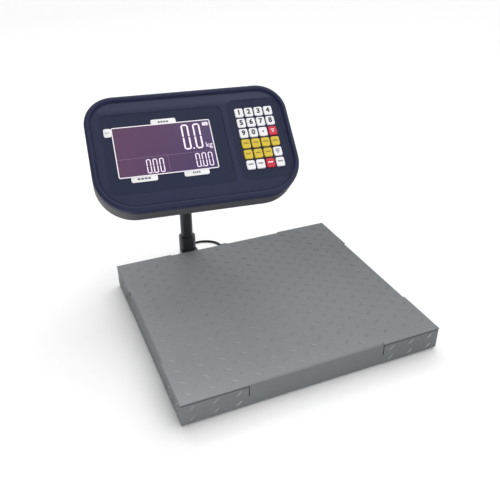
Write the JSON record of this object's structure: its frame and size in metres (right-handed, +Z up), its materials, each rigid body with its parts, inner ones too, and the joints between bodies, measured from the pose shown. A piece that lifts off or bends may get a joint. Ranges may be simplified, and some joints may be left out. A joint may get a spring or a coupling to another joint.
{
  "type": "pallet scale",
  "caption": "Low tread-plate weighing platform on load cells and levelling feet, with a wide two-shell indicator with display and keypad on a pillar that swivels and tilts.",
  "frame": {"origin": "on the floor, under the middle of the whole scale's box", "axes": "+Z up, +X to the user's right, -Y towards the user"},
  "size_m": [0.6511, 0.662, 0.5037],
  "materials": {
    "deck_paint": "grey powder coat on tread plate",
    "frame_paint": "dark grey primer and paint",
    "cell_steel": "nickel plated alloy steel",
    "zinc_steel": "bright zinc plate",
    "box_plastic": "light grey moulded plastic",
    "cable": "black round cable sheath",
    "gland_metal": "nickel plated brass",
    "foot_rubber": "black rubber sole on a plated stud",
    "pillar_paint": "dark powder coat",
    "cast_black": "black painted casting",
    "knob_plastic": "black glass filled nylon",
    "shell_grey": "grey ABS, fine texture",
    "shell_navy": "dark blue grey ABS, fine texture",
    "window": "tinted polycarbonate over a lit display",
    "module_black": "display glass and backlight frame",
    "silicone": "translucent silicone",
    "board_green": "solder mask over glass fibre",
    "battery_wrap": "shrink wrap",
    "gloss_black": "black moulded plastic",
    "key_white": "white key cap",
    "key_yellow": "yellow key cap",
    "key_red": "red key cap"
  },
  "bodies": {
    "platform": {"deck_plate": "deck_paint", "corner_skirts": "deck_paint", "frame_rails": "frame_paint", "cell_plates": "frame_paint", "load_cells": "cell_steel", "cell_fasteners": "zinc_steel", "junction_box": "box_plastic", "junction_lid": "box_plastic", "load_cell_leads": "cable", "deck_gland": "gland_metal", "platform_cord": "cable", "pillar_bracket": "pillar_paint", "pillar_bolts": "zinc_steel", "pillar_tube": "pillar_paint", "pillar_gland": "knob_plastic"},
    "foot_front_left": {"foot_front_left": "foot_rubber"},
    "foot_front_right": {"foot_front_right": "foot_rubber"},
    "foot_back_left": {"foot_back_left": "foot_rubber"},
    "foot_back_right": {"foot_back_right": "foot_rubber"},
    "swivel": {"swivel_head": "cast_black"},
    "head": {"tilt_bracket": "pillar_paint", "rear_shell": "shell_grey", "front_shell": "shell_navy", "shell_screws": "zinc_steel", "display_window": "window", "display_module": "module_black", "keypad_mat": "silicone", "main_board": "board_green", "battery": "battery_wrap", "battery_cover": "shell_grey", "power_switch": "gloss_black", "power_inlet": "gloss_black"},
    "swivel_knob": {"swivel_knob": "knob_plastic"},
    "knob_left": {"tilt_knob_left": "knob_plastic"},
    "knob_right": {"tilt_knob_right": "knob_plastic"},
    "rocker": {"power_rocker": "key_red"},
    "key_r1c1": {"key_r1c1": "key_white"},
    "key_r1c2": {"key_r1c2": "key_white"},
    "key_r1c3": {"key_r1c3": "key_white"},
    "key_r1c4": {"key_r1c4": "key_white"},
    "key_r2c1": {"key_r2c1": "key_white"},
    "key_r2c2": {"key_r2c2": "key_white"},
    "key_r2c3": {"key_r2c3": "key_white"},
    "key_r2c4": {"key_r2c4": "key_white"},
    "key_r3c1": {"key_r3c1": "key_white"},
    "key_r3c2": {"key_r3c2": "key_white"},
    "key_r3c3": {"key_r3c3": "key_white"},
    "key_r3c4": {"key_r3c4": "key_red"},
    "key_r4c1": {"key_r4c1": "key_yellow"},
    "key_r4c2": {"key_r4c2": "key_yellow"},
    "key_r4c3": {"key_r4c3": "key_yellow"},
    "key_r4c4": {"key_r4c4": "key_yellow"},
    "key_r5c1": {"key_r5c1": "key_yellow"},
    "key_r5c2": {"key_r5c2": "key_yellow"},
    "key_r5c3": {"key_r5c3": "key_yellow"},
    "key_r5c4": {"key_r5c4": "key_white"},
    "key_r6c1": {"key_r6c1": "key_white"},
    "key_r6c2": {"key_r6c2": "key_white"},
    "key_r6c3": {"key_r6c3": "key_red"},
    "key_r6c4": {"key_r6c4": "key_white"}
  },
  "joints": [
    {"name": "foot_front_left_height", "type": "slide", "parent": "platform", "child": "foot_front_left", "axis": [0, 0, -1], "range_m": [0, 0.01]},
    {"name": "foot_front_right_height", "type": "slide", "parent": "platform", "child": "foot_front_right", "axis": [0, 0, -1], "range_m": [0, 0.01]},
    {"name": "foot_back_left_height", "type": "slide", "parent": "platform", "child": "foot_back_left", "axis": [0, 0, -1], "range_m": [0, 0.01]},
    {"name": "foot_back_right_height", "type": "slide", "parent": "platform", "child": "foot_back_right", "axis": [0, 0, -1], "range_m": [0, 0.01]},
    {"name": "indicator_swivel", "type": "hinge", "parent": "platform", "child": "swivel", "pos_m": [-0.075, 0.257, 0.328], "axis": [0, 0, 1], "range_deg": [-90, 90]},
    {"name": "indicator_tilt", "type": "hinge", "parent": "swivel", "child": "head", "pos_m": [-0.08511, 0.16958, 0.36], "axis": [0.9934, -0.1149, 0], "range_deg": [-25, 25]},
    {"name": "swivel_knob_turn", "type": "hinge", "parent": "platform", "child": "swivel_knob", "pos_m": [-0.075, 0.291, 0.312], "axis": [0, 1, 0], "range_deg": [0, 180]},
    {"name": "tilt_knob_left_turn", "type": "hinge", "parent": "swivel", "child": "knob_left", "pos_m": [-0.10697, 0.17211, 0.36], "axis": [-0.9934, 0.1149, 0], "range_deg": [0, 180]},
    {"name": "tilt_knob_right_turn", "type": "hinge", "parent": "swivel", "child": "knob_right", "pos_m": [-0.06326, 0.16706, 0.36], "axis": [0.9934, -0.1149, 0], "range_deg": [0, 180]},
    {"name": "power_rocker_turn", "type": "hinge", "parent": "head", "child": "rocker", "pos_m": [0.13454, 0.09298, 0.38957], "axis": [0.0769, 0.6647, -0.7431], "range_deg": [0, 16]},
    {"name": "key_r1c1_press", "type": "slide", "parent": "head", "child": "key_r1c1", "axis": [0.0769, 0.6647, -0.7431], "range_m": [0, 0.0012], "stiffness_N_per_m": 500, "springref_m": -0.002},
    {"name": "key_r1c2_press", "type": "slide", "parent": "head", "child": "key_r1c2", "axis": [0.0769, 0.6647, -0.7431], "range_m": [0, 0.0012], "stiffness_N_per_m": 500, "springref_m": -0.002},
    {"name": "key_r1c3_press", "type": "slide", "parent": "head", "child": "key_r1c3", "axis": [0.0769, 0.6647, -0.7431], "range_m": [0, 0.0012], "stiffness_N_per_m": 500, "springref_m": -0.002},
    {"name": "key_r1c4_press", "type": "slide", "parent": "head", "child": "key_r1c4", "axis": [0.0769, 0.6647, -0.7431], "range_m": [0, 0.0012], "stiffness_N_per_m": 500, "springref_m": -0.002},
    {"name": "key_r2c1_press", "type": "slide", "parent": "head", "child": "key_r2c1", "axis": [0.0769, 0.6647, -0.7431], "range_m": [0, 0.0012], "stiffness_N_per_m": 500, "springref_m": -0.002},
    {"name": "key_r2c2_press", "type": "slide", "parent": "head", "child": "key_r2c2", "axis": [0.0769, 0.6647, -0.7431], "range_m": [0, 0.0012], "stiffness_N_per_m": 500, "springref_m": -0.002},
    {"name": "key_r2c3_press", "type": "slide", "parent": "head", "child": "key_r2c3", "axis": [0.0769, 0.6647, -0.7431], "range_m": [0, 0.0012], "stiffness_N_per_m": 500, "springref_m": -0.002},
    {"name": "key_r2c4_press", "type": "slide", "parent": "head", "child": "key_r2c4", "axis": [0.0769, 0.6647, -0.7431], "range_m": [0, 0.0012], "stiffness_N_per_m": 500, "springref_m": -0.002},
    {"name": "key_r3c1_press", "type": "slide", "parent": "head", "child": "key_r3c1", "axis": [0.0769, 0.6647, -0.7431], "range_m": [0, 0.0012], "stiffness_N_per_m": 500, "springref_m": -0.002},
    {"name": "key_r3c2_press", "type": "slide", "parent": "head", "child": "key_r3c2", "axis": [0.0769, 0.6647, -0.7431], "range_m": [0, 0.0012], "stiffness_N_per_m": 500, "springref_m": -0.002},
    {"name": "key_r3c3_press", "type": "slide", "parent": "head", "child": "key_r3c3", "axis": [0.0769, 0.6647, -0.7431], "range_m": [0, 0.0012], "stiffness_N_per_m": 500, "springref_m": -0.002},
    {"name": "key_r3c4_press", "type": "slide", "parent": "head", "child": "key_r3c4", "axis": [0.0769, 0.6647, -0.7431], "range_m": [0, 0.0012], "stiffness_N_per_m": 500, "springref_m": -0.002},
    {"name": "key_r4c1_press", "type": "slide", "parent": "head", "child": "key_r4c1", "axis": [0.0769, 0.6647, -0.7431], "range_m": [0, 0.0012], "stiffness_N_per_m": 500, "springref_m": -0.002},
    {"name": "key_r4c2_press", "type": "slide", "parent": "head", "child": "key_r4c2", "axis": [0.0769, 0.6647, -0.7431], "range_m": [0, 0.0012], "stiffness_N_per_m": 500, "springref_m": -0.002},
    {"name": "key_r4c3_press", "type": "slide", "parent": "head", "child": "key_r4c3", "axis": [0.0769, 0.6647, -0.7431], "range_m": [0, 0.0012], "stiffness_N_per_m": 500, "springref_m": -0.002},
    {"name": "key_r4c4_press", "type": "slide", "parent": "head", "child": "key_r4c4", "axis": [0.0769, 0.6647, -0.7431], "range_m": [0, 0.0012], "stiffness_N_per_m": 500, "springref_m": -0.002},
    {"name": "key_r5c1_press", "type": "slide", "parent": "head", "child": "key_r5c1", "axis": [0.0769, 0.6647, -0.7431], "range_m": [0, 0.0012], "stiffness_N_per_m": 500, "springref_m": -0.002},
    {"name": "key_r5c2_press", "type": "slide", "parent": "head", "child": "key_r5c2", "axis": [0.0769, 0.6647, -0.7431], "range_m": [0, 0.0012], "stiffness_N_per_m": 500, "springref_m": -0.002},
    {"name": "key_r5c3_press", "type": "slide", "parent": "head", "child": "key_r5c3", "axis": [0.0769, 0.6647, -0.7431], "range_m": [0, 0.0012], "stiffness_N_per_m": 500, "springref_m": -0.002},
    {"name": "key_r5c4_press", "type": "slide", "parent": "head", "child": "key_r5c4", "axis": [0.0769, 0.6647, -0.7431], "range_m": [0, 0.0012], "stiffness_N_per_m": 500, "springref_m": -0.002},
    {"name": "key_r6c1_press", "type": "slide", "parent": "head", "child": "key_r6c1", "axis": [0.0769, 0.6647, -0.7431], "range_m": [0, 0.0012], "stiffness_N_per_m": 500, "springref_m": -0.002},
    {"name": "key_r6c2_press", "type": "slide", "parent": "head", "child": "key_r6c2", "axis": [0.0769, 0.6647, -0.7431], "range_m": [0, 0.0012], "stiffness_N_per_m": 500, "springref_m": -0.002},
    {"name": "key_r6c3_press", "type": "slide", "parent": "head", "child": "key_r6c3", "axis": [0.0769, 0.6647, -0.7431], "range_m": [0, 0.0012], "stiffness_N_per_m": 500, "springref_m": -0.002},
    {"name": "key_r6c4_press", "type": "slide", "parent": "head", "child": "key_r6c4", "axis": [0.0769, 0.6647, -0.7431], "range_m": [0, 0.0012], "stiffness_N_per_m": 500, "springref_m": -0.002}
  ]
}
